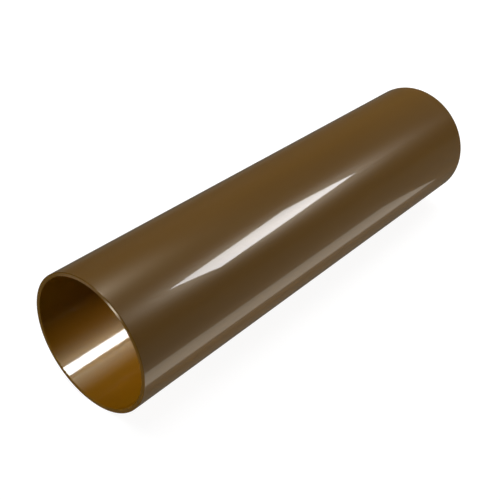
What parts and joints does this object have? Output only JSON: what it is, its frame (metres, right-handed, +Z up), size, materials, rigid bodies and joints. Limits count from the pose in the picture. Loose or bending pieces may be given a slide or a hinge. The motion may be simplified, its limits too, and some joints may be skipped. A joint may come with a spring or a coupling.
{
  "type": "pvc pipe",
  "caption": "Straight thin-walled round plastic pipe with a smooth glossy skin and a clear bore, cut square with lightly broken edges.",
  "frame": {"origin": "on the pipe's axis at mid-length", "axes": "+X along the pipe, +Z up; the pipe lies on its side"},
  "size_m": [0.432, 0.11, 0.11],
  "materials": {
    "pvc_brown": "smooth glossy extruded skin, brown right through, sawn matt on the end faces"
  },
  "bodies": {
    "root": {"pipe": "pvc_brown"}
  },
  "joints": []
}
